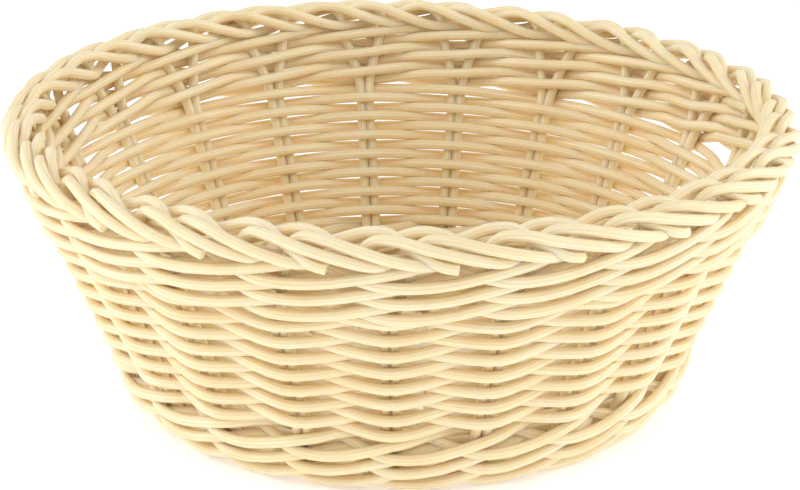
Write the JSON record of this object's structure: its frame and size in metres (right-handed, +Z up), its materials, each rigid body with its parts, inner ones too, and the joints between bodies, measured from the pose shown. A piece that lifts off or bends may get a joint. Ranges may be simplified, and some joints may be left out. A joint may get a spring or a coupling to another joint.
{
  "type": "woven bread basket",
  "caption": "Round flared bread basket woven from plastic cord, with paired stakes, plain weave sides, waled bands, a rolled border and a woven base",
  "frame": {"origin": "centre of the resting ring under the foot, on the table", "axes": "+Z up along the axis of the bowl, +X to the right and -Y towards the viewer; one pair of stakes faces -Y"},
  "size_m": [0.2353, 0.2358, 0.092],
  "materials": {
    "cord_stake": "ribbed cream polypropylene cord",
    "cord_weaver": "ribbed cream polypropylene cord"
  },
  "bodies": {
    "root": {"long_stake_a1": "cord_stake", "long_stake_a2": "cord_stake", "long_stake_a3": "cord_stake", "long_stake_a4": "cord_stake", "long_stake_a5": "cord_stake", "long_stake_a6": "cord_stake", "long_stake_a7": "cord_stake", "long_stake_a8": "cord_stake", "long_stake_a9": "cord_stake", "long_stake_a10": "cord_stake", "long_stake_b1": "cord_stake", "long_stake_b2": "cord_stake", "long_stake_b3": "cord_stake", "long_stake_b4": "cord_stake", "long_stake_b5": "cord_stake", "long_stake_b6": "cord_stake", "long_stake_b7": "cord_stake", "long_stake_b8": "cord_stake", "long_stake_b9": "cord_stake", "long_stake_b10": "cord_stake", "folded_stake": "cord_stake", "base_weaver": "cord_weaver", "side_weaver": "cord_weaver", "edge_rod_1": "cord_weaver", "edge_rod_2": "cord_weaver", "edge_rod_3": "cord_weaver", "foot_rod_1": "cord_weaver", "foot_rod_2": "cord_weaver", "foot_rod_3": "cord_weaver", "rim_rod_1": "cord_weaver", "rim_rod_2": "cord_weaver", "rim_rod_3": "cord_weaver"}
  },
  "joints": []
}
